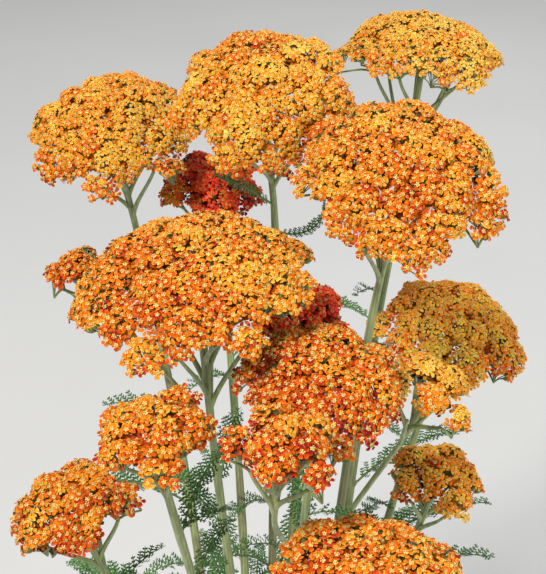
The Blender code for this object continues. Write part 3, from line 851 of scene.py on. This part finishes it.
def dress_head(head, lines, looks):
    """Florets, cups and stalks of one flower head."""
    draw = random.Random(head.seed * 3 + 1)
    clusters = Clusters(head, draw)
    sites = spiral_sites(head, FLORET_PITCH, draw, 0.4)
    rays, discs, stalks = Soup(), Soup(), Soup()
    ray_kinds = [ray_template(draw, count) for count in PETAL_COUNTS]
    disc_kinds = [disc_template(draw) for _ in range(4)]
    outer_cup, inner_cup = cup_template(OUTER_CUP), cup_template(INNER_CUP)
    line = lines[head.name]
    forks = [array(branch_curve(head, line, i)[-1]) for i in range(len(head.lobes) - 1)]
    forks.append(array(line[-1] - head.normal * 6 * MM))
    under_florets(head, clusters, rays, stalks, draw)
    normal = array(head.normal)
    for node in clusters.nodes:
        fork = min(forks, key=lambda f: np.linalg.norm(f - node))
        rise = normal * np.linalg.norm(node - fork)
        path = smooth_line([fork, fork * 0.6 + node * 0.4 + rise * 0.08, node], 3)
        tube_into(stalks, path, np.linspace(0.7, 0.5, len(path)) * MM, 5, STALK_COLOUR)
    wave = [draw.uniform(0, math.tau) for _ in range(4)]
    for x, y in sites:
        near, place, axis, grip = stand_floret(head, clusters, x, y, draw)
        u, v = x / head.radius, y / head.radius
        out = math.hypot(u, v)
        fade = floret_fade(head, clusters.shade[near], u, v, wave, draw)
        points, faces, rims, edges = ray_kinds[draw.randrange(len(ray_kinds))]
        petals = [draw.gauss(0, PETAL_FADE) for _ in range(len(points) // len(PETAL))]
        tone = fade - 0.08 + np.repeat(petals, len(PETAL)) - 0.10 * (rims == 0)
        tone = np.clip(tone + EDGE_FADE[head.colour] * edges, FADE_STEPS[0], FADE_STEPS[-1])
        # Heads in the shade of others get raised colours here: painted light.
        tint = fade_colour(tone) * draw.uniform(0.84, 1.06) * PAINTED_LIGHT_GAIN.get(head.name, 1.0)
        rays.add(place + points @ grip, faces, tint)
        points, faces, depth = disc_kinds[draw.randrange(len(disc_kinds))]
        eye = DISC_COLOUR * draw.uniform(0.88, 1.06) * (1 - 0.3 * max(0, 0.4 - fade))
        old = min(1.0, max(0.0, draw.gauss(OLD_EYES[head.colour], 0.2)))
        eye = eye * (1 - old) + OLD_DISC_COLOUR[head.colour] * old
        # depth paints shade on the eye: darker on the cushion and in the hollows, full at the tips.
        discs.add(place + points @ grip, faces, eye * depth[:, None])
        points, faces, depth = outer_cup if out > OUTER_SHARE else inner_cup
        # The cups' tones are painted shade, darkest at the top under the petals.
        stalks.add(place + points @ grip, faces, CUP_COLOUR * depth[:, None])
        foot, node = place - axis * CUP_DEPTH, clusters.nodes[near]
        if out > BENT_SHARE:
            bend = foot * 0.55 + node * 0.45 + (normal - axis) * 1.2 * MM
            tube_into(stalks, [foot, bend, node], np.array((0.34, 0.30, 0.38)) * MM, 3, STALK_COLOUR)
        else:
            tube_into(stalks, [foot, node], np.array((0.34, 0.38)) * MM, 3, STALK_COLOUR)
    made = rays.build("petals_" + head.name, looks["petals"], slot_of(head))
    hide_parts("flower_head_" + head.name)
    discs.build("eyes_" + head.name, looks["eyes"], slot_of(head))
    stalks.build("stalks_" + head.name, looks["stalks"], "stem_green")


def slot_of(head):
    return "petals_red" if head.colour == "red" else "petals_orange"


def stem_radius(share):
    return STEM_BASE_RADIUS * (1 - share) + STEM_TOP_RADIUS * share


def dress_stem(owner, heads, lines, leaves, looks):
    """One stem with its branches and the feet of its leaves, furrowed with painted light and shade, and
    brown in patches low down.
    """
    draw = random.Random(owner.seed * 5 + 2)
    soup = Soup()
    for head in [h for h in heads if h.carrier == owner.name]:
        line = [array(p) for p in stem_line(head, heads, 36)]
        if head is owner:
            line = [line[0] - (0, 0, 16 * MM), line[0] - (0, 0, 8 * MM), *line]
        line = np.array(line)
        line[-1] -= array(head.normal) * 2.5 * MM
        share = np.linspace(0, 1, len(line))
        if head is owner:
            radii = stem_radius(share) * (1 + 0.05 * np.sin(share * 31 + draw.uniform(0, math.tau)))
            sides, flute = 14, 0.085
        else:
            radii = 0.8 * STEM_TOP_RADIUS * (1 - 0.15 * share)
            sides, flute = 10, 0.08
        brown = np.clip(0.62 - share * 1.1 + 0.3 * np.sin(share * 23 + owner.seed), 0, 0.8)[:, None]
        tube_into(soup, line, radii, sides, STEM_COLOUR * (1 - brown) + STEM_BROWN * brown, flute)
        for i in range(len(head.lobes) - 1):
            path = smooth_line([array(p) for p in branch_curve(head, lines[head.name], i)], 2)
            radii = np.linspace(BRANCH_RADIUS, BRANCH_END_RADIUS, len(path))
            tube_into(soup, path, radii, 8, STEM_COLOUR * 1.05, 0.07)
    for name, leaf in leaves:
        if name == owner.name:
            start, out = array(leaf.start), array(leaf.heading(0.0))
            path = [start + out * step * MM for step in (-0.5, 3, 6)]
            tube_into(soup, path, np.array((1.7, 1.15, 0.8)) * MM, 7, STEM_COLOUR)
    made = soup.build("stalk_" + owner.name, looks["stem"], "stem_green")
    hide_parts("stem_" + owner.name)


def feather_into(soup, leaf, draw, fine=1.0):
    """A twice-cut leaf: a midrib, side leaflets, and pointed teeth on both sides of each."""
    pairs = max(7, round(leaf.length / MM / LEAFLET_PITCH * fine))
    rib = np.array([array(p) for p in leaf.rib(RIB_STEPS)])
    headings = headings_of(rib)
    side = array(leaf.side)
    tone = draw.uniform(0.75, 1.25)
    green, pale = LEAF_COLOUR * tone, LEAF_PALE * tone
    thin = min(1.0, leaf.length / (80 * MM) + 0.25)
    tube_into(soup, rib, np.linspace(0.75, 0.22, len(rib)) * MM * thin, 5, pale * 0.9)
    for i in range(pairs):
        share = 0.10 + 0.88 * (i + 0.5) / pairs
        spot = share * RIB_STEPS
        low = min(int(spot), RIB_STEPS - 1)
        base = rib[low] * (1 - spot + low) + rib[low + 1] * (spot - low)
        heading = headings[low]
        normal = unit(np.cross(heading, side))
        reach = max(leaf.spread(share), 1.5 * MM) * draw.uniform(0.92, 1.08)
        for sign in (-1, 1):
            lean = draw.uniform(0.35, 0.55) + 0.5 * share
            lift = draw.uniform(0.05, 0.5)
            ray = unit(side * sign * math.cos(lean) + heading * math.sin(lean) + normal * lift)
            leaflet_into(soup, base, ray, heading, normal, reach, draw, green, pale)


def leaflet_into(soup, base, ray, heading, normal, reach, draw, green, pale):
    """One side leaflet: a narrow folded strip with pointed teeth."""
    teeth = 3 if reach < 6 * MM else 4 if reach < 10 * MM else 5
    across = unit(heading - ray * (heading @ ray))
    up = np.cross(ray, across)
    twist = draw.uniform(-0.5, 0.5)
    cos, sin = math.cos(twist), math.sin(twist)
    across, up = across * cos + up * sin, up * cos - across * sin
    bend = draw.uniform(-0.12, 0.06)
    points, faces, tints = [], [], []

    def spine(t):
        return base + ray * (reach * t) + normal * (bend * reach * t * t)

    for k in range(teeth + 1):
        t = k / teeth
        half = across * LEAFLET_HALF_WIDTH * (1 - 0.55 * t)
        points += [spine(t) - half, spine(t) + half]
        tints += [pale * 0.8 + green * 0.2] * 2
        if k:
            a = 2 * (k - 1)
            faces += [(a, a + 1, a + 3), (a, a + 3, a + 2)]
    points.append(base + ray * (reach * 1.12) + normal * (bend * reach * 1.2))
    tints.append(green)
    faces.append((2 * teeth, 2 * teeth + 1, 2 * teeth + 2))
    for k in range(teeth):
        t = (k + 0.45) / teeth
        size = reach * 0.34 * (1 - 0.55 * t) * draw.uniform(0.8, 1.15) + 0.35 * MM
        for sign in (-1, 1):
            out = unit(across * (sign * 0.8) + ray * 0.62 + up * draw.uniform(0.0, 0.45))
            foot = spine(t) + across * (sign * LEAFLET_HALF_WIDTH * 0.6)
            shoulder = foot + out * size * 0.6
            wide = unit(np.cross(out, up)) * (0.256 * reach / teeth)
            start = len(points)
            points += [foot - wide, foot + wide, shoulder + wide * 0.9, shoulder - wide * 0.9]
            points.append(foot + out * size)
            tints += [green * 1.1, green * 1.1, green, green, green * 0.8]
            corners = ((0, 1, 2), (0, 2, 3), (3, 2, 4))
            faces += [(start + a, start + b, start + c) for a, b, c in corners]
    soup.add(points, faces, np.array(tints))


# Small leaves up the stems, as shares of the stem's height below the fork.
SMALL_LEAF_SHARES = (0.22, 0.36, 0.50, 0.60, 0.70, 0.80, 0.90)
# Leaves at the forks: stem, share of its height, direction, length (mm), lift and droop (degrees).
FORK_LEAVES = (
    ("top", 0.985, 225, 50, 40, 10),
    ("top", 0.94, -12, 40, -24, -125),
    ("top", 0.90, 200, 32, 40, 40),
    ("right", 0.93, 150, 28, 30, 50),
    ("left", 0.93, 60, 26, 35, 45),
    ("left", 0.90, -150, 30, 35, 55),
    ("centre", 0.90, -30, 30, 45, 60),
    ("front_left", 0.93, 30, 26, 35, 60),
    ("left_top", 0.93, -60, 28, 30, 60),
)
# The first of them are narrow combs that turn their flat side to the front.
COMBS = 2
COMB_NARROWING = 0.62
COMB_TURN = 0.85
VIEW_LINE = Vector((0, 0.89, -0.45))


def dress_leaves(stems, leaves, balls, lines, looks):
    """The feathery leaves, in the places of the solid ones, with small ones higher up."""
    soups = {stem.name: Soup() for stem in stems}
    draw = random.Random(77)
    for name, leaf in leaves:
        feather_into(soups[name], leaf, draw)
    for stem in stems:
        for share in SMALL_LEAF_SHARES:
            place = place_on(lines[stem.name], share + draw.uniform(-0.03, 0.03))
            length = draw.uniform(28, 46) * MM * (1.35 if share < 0.4 else 1.0)
            start = draw.uniform(0, math.tau)
            options = [leaf_at(place, start + math.tau * k / 8, length, 62, 66, 4) for k in range(8)]
            best = roomiest(options, stem.name, balls, 0.0)
            if best:
                feather_into(soups[stem.name], best, draw, 1.2)
                keep_clear(best, stem.name, balls, 1.0)
    for i, (name, share, azimuth, length, lift, droop) in enumerate(FORK_LEAVES):
        place = place_on(lines[name], share)
        leaf = leaf_at(place, math.radians(azimuth), length * MM, lift, droop, 4)
        if i < COMBS:
            facing = leaf.heading(0.5).cross(VIEW_LINE).normalized()
            twist = 0.5 if facing.dot(leaf.side) > 0 else -0.5
            leaf.side = (facing * COMB_TURN + leaf.side * twist).normalized()
            leaf.half_width *= COMB_NARROWING
        feather_into(soups[name], leaf, draw, 1.5)
    for name, soup in soups.items():
        if soup.count:
            soup.build("leaves_" + name, looks["leaf"], "stem_green", smooth=False)


# Materials, and the places and colours of their ramps.
CLAY_STOPS = ((0.3, (0.40, 0.145, 0.07)), (0.5, (0.50, 0.20, 0.10)), (0.72, (0.58, 0.27, 0.15)))
CLAY_BLOOM = (0.66, 0.56, 0.47, 1)
SOIL_STOPS = ((0.3, (0.012, 0.008, 0.006)), (0.5, (0.045, 0.028, 0.018)), (0.72, (0.11, 0.075, 0.045)))
CRUMB_STOPS = ((0.3, (0.20, 0.14, 0.10)), (0.5, (0.65, 0.46, 0.33)), (0.72, (1.0, 0.86, 0.7)))
FLOOR_STOPS = ((0.3, (0.66, 0.66, 0.65)), (0.7, (0.69, 0.69, 0.68)))


def shader(name, roughness, specular=0.4, sheen=0.0):
    made = bpy.data.materials.new(name)
    made.use_nodes = True
    node = made.node_tree.nodes["Principled BSDF"]
    node.inputs["Roughness"].default_value = roughness
    node.inputs["Specular IOR Level"].default_value = specular
    node.inputs["Sheen Weight"].default_value = sheen
    return made, made.node_tree, node


def place_noise(tree, scale, detail=3.0, stretch=(1, 1, 1)):
    """Noise in the object's own coordinates: its level."""
    where = tree.nodes.new("ShaderNodeTexCoord")
    mapping = tree.nodes.new("ShaderNodeMapping")
    mapping.inputs["Scale"].default_value = stretch
    noise = tree.nodes.new("ShaderNodeTexNoise")
    noise.inputs["Scale"].default_value = scale
    noise.inputs["Detail"].default_value = detail
    tree.links.new(where.outputs["Object"], mapping.inputs["Vector"])
    tree.links.new(mapping.outputs["Vector"], noise.inputs["Vector"])
    return noise.outputs["Fac"]


def ramp(tree, source, stops):
    node = tree.nodes.new("ShaderNodeValToRGB")
    while len(node.color_ramp.elements) < len(stops):
        node.color_ramp.elements.new(0.5)
    for element, (place, colour) in zip(node.color_ramp.elements, stops):
        element.position = place
        element.color = (*colour, 1)
    tree.links.new(source, node.inputs["Fac"])
    return node.outputs["Color"]


def greys(tree, source, *stops):
    """A ramp between greys, each given as its place and its level."""
    return ramp(tree, source, [(place, (level,) * 3) for place, level in stops])


def mesh_tint(tree):
    """The colour that the mesh carries at each point."""
    node = tree.nodes.new("ShaderNodeAttribute")
    node.attribute_name = "tint"
    return node.outputs["Color"]


def mix(tree, kind, factor, a, b):
    node = tree.nodes.new("ShaderNodeMix")
    node.data_type = "RGBA"
    node.blend_type = kind
    for socket, value in ((node.inputs["Factor"], factor), (node.inputs[6], a), (node.inputs[7], b)):
        if hasattr(value, "links"):
            tree.links.new(value, socket)
        else:
            socket.default_value = value
    return node.outputs[2]


def bump(tree, node, height, strength, distance):
    made = tree.nodes.new("ShaderNodeBump")
    made.inputs["Strength"].default_value = strength
    made.inputs["Distance"].default_value = distance
    tree.links.new(height, made.inputs["Height"])
    tree.links.new(made.outputs["Normal"], node.inputs["Normal"])


def tinted(name, roughness, grain, dark, light, specular=0.35, sheen=0.0, relief=0.0, stretch=(1, 1, 1)):
    """A material that takes the mesh's tint, broken up by a fine grain."""
    made, tree, node = shader(name, roughness, specular, sheen)
    noise = place_noise(tree, grain, 4.0, stretch)
    shade = greys(tree, noise, (0.3, dark), (0.7, light))
    tree.links.new(mix(tree, "MULTIPLY", 1.0, mesh_tint(tree), shade), node.inputs["Base Color"])
    if relief:
        bump(tree, node, noise, 0.6, relief)
    return made


def clay_material():
    """Unglazed clay: mottled, with faint bands, fine pits and a pale bloom low down."""
    made, tree, node = shader("clay_look", 0.86, 0.25)
    fine = place_noise(tree, 260, 6.0)
    broad = place_noise(tree, 16, 4.0)
    bands = place_noise(tree, 30, 3.0, (0.12, 0.12, 7.0))
    base = ramp(tree, broad, CLAY_STOPS)
    base = mix(tree, "MULTIPLY", 0.6, base, greys(tree, fine, (0.3, 0.7), (0.65, 1.1)))
    base = mix(tree, "MULTIPLY", 0.35, base, greys(tree, bands, (0.35, 0.8), (0.6, 1.1)))
    bloom = place_noise(tree, 24, 7.0, (1, 1, 1.6))
    where = tree.nodes.new("ShaderNodeTexCoord")
    split = tree.nodes.new("ShaderNodeSeparateXYZ")
    tree.links.new(where.outputs["Object"], split.inputs["Vector"])
    low = tree.nodes.new("ShaderNodeMapRange")
    for name, value in (("From Min", 0.17), ("From Max", 0.0), ("To Min", -0.10), ("To Max", 0.16)):
        low.inputs[name].default_value = value
    tree.links.new(split.outputs["Z"], low.inputs["Value"])
    total = tree.nodes.new("ShaderNodeMath")
    total.operation = "ADD"
    tree.links.new(bloom, total.inputs[0])
    tree.links.new(low.outputs["Result"], total.inputs[1])
    cover = greys(tree, total.outputs["Value"], (0.52, 0.0), (0.74, 0.62))
    colour = mix(tree, "MIX", cover, base, CLAY_BLOOM)
    tree.links.new(colour, node.inputs["Base Color"])
    bump(tree, node, fine, 0.35, 0.0006)
    return made


def earth_material(name, stops, relief, patchy):
    """Crumbly earth: in darker and lighter patches, or else in the mesh's tint."""
    made, tree, node = shader(name, 0.95, 0.2)
    fine = place_noise(tree, 420, 8.0)
    base = ramp(tree, fine, stops)
    if patchy:
        patches = greys(tree, place_noise(tree, 60, 4.0), (0.3, 0.55), (0.7, 1.2))
        colour = mix(tree, "MULTIPLY", 0.5, base, patches)
    else:
        colour = mix(tree, "MULTIPLY", 1.0, base, mesh_tint(tree))
    tree.links.new(colour, node.inputs["Base Color"])
    bump(tree, node, fine, 0.9, relief)
    return made


def floor_material():
    made, tree, node = shader("floor_look", 0.75, 0.2)
    colour = ramp(tree, place_noise(tree, 3, 2.0), FLOOR_STOPS)
    tree.links.new(colour, node.inputs["Base Color"])
    return made


# Pot and soil.
# How round the lip is and in how many steps, and how many sides the turned shape has.
LIP_RADIUS = 2.6 * MM
LIP_STEPS = 6
POT_SIDES = 112
# Throwing rings round the wall: how deep, how close together and where they start.
THROW_RINGS = ((0.22 * MM, 0.62, 0), (0.12 * MM, 1.7, 1))
# Two points of the collar's lower edge: how far in from the rim's radius, and how high over its foot.
COLLAR_EDGE = ((3.4 * MM, 1.2 * MM), (4.6 * MM, 0.2 * MM))
# The rounded edge of the foot: out from the foot's radius, and height.
FOOT_EDGE = ((0.4 * MM, 2.0 * MM), (-0.8 * MM, 0.6 * MM), (-2.5 * MM, 0), (-20 * MM, 0))


def pot_outline():
    """Radius and height of the pot's rings, from the floor up inside, over the lip and down outside."""
    collar = POT_HEIGHT - POT_COLLAR_HEIGHT
    inner_top = pot_radius(POT_HEIGHT) - POT_WALL
    middle, half = (inner_top + POT_RIM_RADIUS) / 2, (POT_RIM_RADIUS - inner_top) / 2
    slant = 3 * MM / (POT_COLLAR_HEIGHT - 4 * MM)
    outline = [(pot_radius(POT_FLOOR) - POT_WALL - 3 * MM, POT_FLOOR)]
    for z in np.linspace(POT_FLOOR + 3 * MM, POT_HEIGHT - 3 * MM, 9):
        outline.append((pot_radius(z) - POT_WALL, z))
    for k in range(LIP_STEPS + 1):
        angle = math.pi * k / LIP_STEPS
        top = POT_HEIGHT - LIP_RADIUS + LIP_RADIUS * math.sin(angle)
        outline.append((middle - half * math.cos(angle), top))
    for z in np.linspace(POT_HEIGHT - 5 * MM, collar + 3 * MM, 7):
        outline.append((POT_RIM_RADIUS - (POT_HEIGHT - 2.5 * MM - z) * slant, z))
    outline += [(POT_RIM_RADIUS - inset, collar + up) for inset, up in COLLAR_EDGE]
    outline.append((pot_radius(collar) + 0.6 * MM, collar - 0.2 * MM))
    outline += [(pot_radius(z), z) for z in np.linspace(collar - 2.5 * MM, 4 * MM, 22)]
    return outline + [(POT_FOOT_RADIUS + out, z) for out, z in FOOT_EDGE]


def dress_pot(look):
    """A thrown clay pot, finer than the solid one, with throwing rings and an uneven lip."""
    outline = pot_outline()
    angles = math.tau * np.arange(POT_SIDES) / POT_SIDES
    points = []
    for radius, height in outline:
        out = radius + 0 * angles
        if radius >= POT_FOOT_RADIUS or height >= 1 * MM:
            out += sum(deep * math.sin(height / MM * close + start) for deep, close, start in THROW_RINGS)
            out += 0.35 * MM * np.sin(2 * angles + 0.7 + height * 9)
            out += 0.12 * MM * np.sin(5 * angles + height * 30)
        lip = 0.35 * MM * np.sin(3 * angles + 1.2) if height > POT_HEIGHT - 3 * MM else 0 * angles
        up = np.minimum(height + lip, POT_HEIGHT + 0.4 * MM)
        points += np.stack([out * np.cos(angles), out * np.sin(angles), up], 1).tolist()
    a, b, c, d = ring_quads(len(outline), POT_SIDES)
    faces = np.stack([a, d, c, b], 1).tolist()
    points += [(0, 0, POT_FLOOR), (0, 0, 0)]
    top, under = len(points) - 2, len(points) - 1
    last = top - POT_SIDES
    for k in range(POT_SIDES):
        m = (k + 1) % POT_SIDES
        faces += [(top, k, m), (under, last + m, last + k)]
    mesh = bpy.data.meshes.new("clay_pot")
    mesh.from_pydata(points, [], faces)
    mesh.materials.append(look)
    pot = put("clay_pot", mesh)
    cutters = []
    for i in range(DRAIN_COUNT):
        place = around(DRAIN_CIRCLE, math.tau * (i + 0.25) / DRAIN_COUNT, 5 * MM)
        bpy.ops.mesh.primitive_cylinder_add(vertices=28, radius=DRAIN_RADIUS, depth=40 * MM, location=place)
        cutter = bpy.context.object
        hole = pot.modifiers.new("hole", "BOOLEAN")
        hole.operation = "DIFFERENCE"
        hole.solver = "EXACT"
        hole.object = cutter
        cutters.append(cutter)
    bpy.context.view_layer.update()
    graph = bpy.context.evaluated_depsgraph_get()
    made = bpy.data.meshes.new_from_object(pot.evaluated_get(graph))
    pot.modifiers.clear()
    pot.data = made
    for cutter in cutters:
        bpy.data.objects.remove(cutter)
    for polygon in made.polygons:
        polygon.use_smooth = True
    made.set_sharp_from_angle(angle=math.radians(40))
    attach(pot, "root")
    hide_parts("pot")


def lump():
    """An icosahedron, the shape of a crumb before its corners are made uneven."""
    golden = (1 + 5**0.5) / 2
    corners = []
    for a in (-1, 1):
        for b in (-golden, golden):
            corners += [(0, a, b), (a, b, 0), (b, 0, a)]
    corners = np.array(corners, float)
    corners /= np.linalg.norm(corners[0])
    faces = []
    for i in range(12):
        for j in range(i + 1, 12):
            for k in range(j + 1, 12):
                gaps = [np.linalg.norm(corners[p] - corners[q]) for p, q in ((i, j), (j, k), (i, k))]
                if max(gaps) < 1.2:
                    out = np.cross(corners[j] - corners[i], corners[k] - corners[i])
                    faces.append((i, j, k) if out @ corners[i] > 0 else (i, k, j))
    return corners, np.array(faces)


def dress_soil(looks, roots):
    """A crumbly surface over the soil, with lumps, bark and white grit."""
    draw = random.Random(9)
    rng = np.random.default_rng(4)
    wall = pot_radius(SOIL_TOP) - POT_WALL - 1.2 * MM
    phases = rng.uniform(0, math.tau, (SOIL_WAVES, 2))
    scales = rng.uniform(120, 900, (SOIL_WAVES, 2))
    points = []
    for i in range(SOIL_RINGS + 1):
        out = wall * i / SOIL_RINGS
        edge = 1.5 * MM * max(0.0, i / SOIL_RINGS - 0.93) / 0.07
        for k in range(SOIL_SIDES):
            x, y, up = around(out, math.tau * (k + 0.5 * (i % 2)) / SOIL_SIDES, SOIL_SKIN - edge)
            for (p, q), (s, t) in zip(phases, scales):
                up += 0.55 * MM * math.sin(x * s + p) * math.sin(y * t + q) / (1 + s / 300)
            points.append((x, y, soil_height(x, y) + up))
    soup = Soup()
    a, b, c, d = ring_quads(SOIL_RINGS + 1, SOIL_SIDES)
    soup.add(points, triangles(a, d, c, a, c, b), CRUMB_TINT)
    ball, ball_faces = lump()
    for _ in range(CRUMBS):
        x, y, _ = around(wall * math.sqrt(draw.random()) * 0.985, draw.uniform(0, math.tau), 0)
        if min((x - r.x) ** 2 + (y - r.y) ** 2 for r in roots) < ROOT_ROOM**2:
            continue
        size = draw.choice(CRUMB_SIZES) * draw.uniform(0.8, 1.2) * MM
        kind = draw.random()
        tint = CRUMB_TINT * draw.uniform(0.6, 1.5)
        stretch = (draw.uniform(0.8, 1.3), draw.uniform(0.7, 1.1), draw.uniform(0.5, 0.9))
        if kind < GRIT_SHARE:
            tint, size = GRIT_TINT, size * 0.85
        elif kind < GRIT_SHARE + BARK_SHARE:
            tint, stretch = BARK_TINT, BARK_SHAPE
        turn = draw.uniform(0, math.tau)
        cos, sin = math.cos(turn), math.sin(turn)
        spin = np.array(((cos, sin, 0), (-sin, cos, 0), (0, 0, 1)))
        shape = (ball * rng.uniform(0.75, 1.2, (12, 1)) * stretch) @ spin * size
        place = np.array((x, y, soil_height(x, y) + SOIL_SKIN + size * 0.25))
        soup.add(place + shape, ball_faces, tint)
    soup.build("soil_crumbs", looks["crumbs"], "soil", smooth=False)


# Camera and studio. Lens and sensor in millimetres, pitch in degrees below level, the rest in metres.
LENS = 88.4
SENSOR = 36
CAMERA_PLACE = (0, -0.57795, 0.76712)
CAMERA_PITCH = 27
AIM = Vector((0, 0, 0.4))
FLOOR_HALF = 60


def make_camera():
    data = bpy.data.cameras.new("camera")
    data.lens = LENS
    data.sensor_width = SENSOR
    data.clip_end = 50
    camera = put("camera", data)
    camera.location = CAMERA_PLACE
    camera.rotation_euler = (math.radians(90 - CAMERA_PITCH), 0, 0)
    bpy.context.scene.camera = camera


def area_light(name, place, size, power, colour):
    data = bpy.data.lights.new(name, "AREA")
    data.size = size
    data.energy = power
    data.color = colour
    light = put(name, data)
    light.location = place
    light.rotation_euler = (AIM - Vector(place)).to_track_quat("-Z", "Y").to_euler()


def make_studio():
    mesh = bpy.data.meshes.new("floor")
    corners = [(x * FLOOR_HALF, y * FLOOR_HALF, 0) for x, y in ((-1, -1), (1, -1), (1, 1), (-1, 1))]
    mesh.from_pydata(corners, [], [(0, 1, 2, 3)])
    mesh.materials.append(floor_material())
    floor = put("floor", mesh)
    floor.location = (0, 0, -0.5 * MM)
    floor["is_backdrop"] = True
    area_light("key", (-0.9, -1.2, 2.5), 0.6, 63, (1.0, 0.97, 0.92))
    area_light("fill", (1.8, -1.2, 1.2), 1.6, 22, (0.97, 0.98, 1.0))
    area_light("back", (0.6, 1.8, 1.9), 1.4, 16, (1.0, 1.0, 1.0))
    world = bpy.data.worlds.new("studio")
    bpy.context.scene.world = world
    world.use_nodes = True
    sky = world.node_tree.nodes["Background"]
    sky.inputs["Color"].default_value = (0.95, 0.97, 1.0, 1)
    sky.inputs["Strength"].default_value = 0.36
    bpy.context.scene.view_settings.view_transform = "Standard"


def main():
    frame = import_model()
    cad_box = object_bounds()
    make_camera()
    make_studio()
    looks = {
        "petals": tinted("petal_look", 0.65, 700, 0.80, 1.14, 0.1),
        "eyes": tinted("eye_look", 0.7, 900, 0.85, 1.12, 0.1),
        "stalks": tinted("stalk_look", 0.65, 500, 0.75, 1.2, 0.3, 0.3),
        "stem": tinted("stem_look", 0.62, 330, 0.62, 1.28, 0.35, 0.35, 0.0004, (1, 1, 0.12)),
        "leaf": tinted("leaf_look", 0.6, 300, 0.7, 1.25, 0.22, 0.08),
        "crumbs": earth_material("crumbs_look", CRUMB_STOPS, 0.0012, False),
    }
    heads = make_heads()
    stems = [h for h in heads if h.carrier == h.name]
    lines = {head.name: stem_line(head, heads, 9) for head in heads}
    balls = obstacles(heads, lines)
    leaves = grow_leaves(stems, lines, balls, random.Random(5))
    for head in heads:
        dress_head(head, lines, looks)
    for stem in stems:
        dress_stem(stem, heads, lines, leaves, looks)
    dress_leaves(stems, leaves, balls, lines, looks)
    dress_pot(clay_material())
    soil = frame["nodes"]["soil"]
    soil.data.materials.clear()
    soil.data.materials.append(earth_material("soil_look", SOIL_STOPS, 0.0015, True))
    dress_soil(looks, [lines[stem.name][0] for stem in stems])
    faces = [len(o.data.polygons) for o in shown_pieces() if o.type == "MESH"]
    print("faces in all", sum(faces), "most", max(faces))
    [[list(corner) for corner in box] for box in (cad_box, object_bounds())]


main()
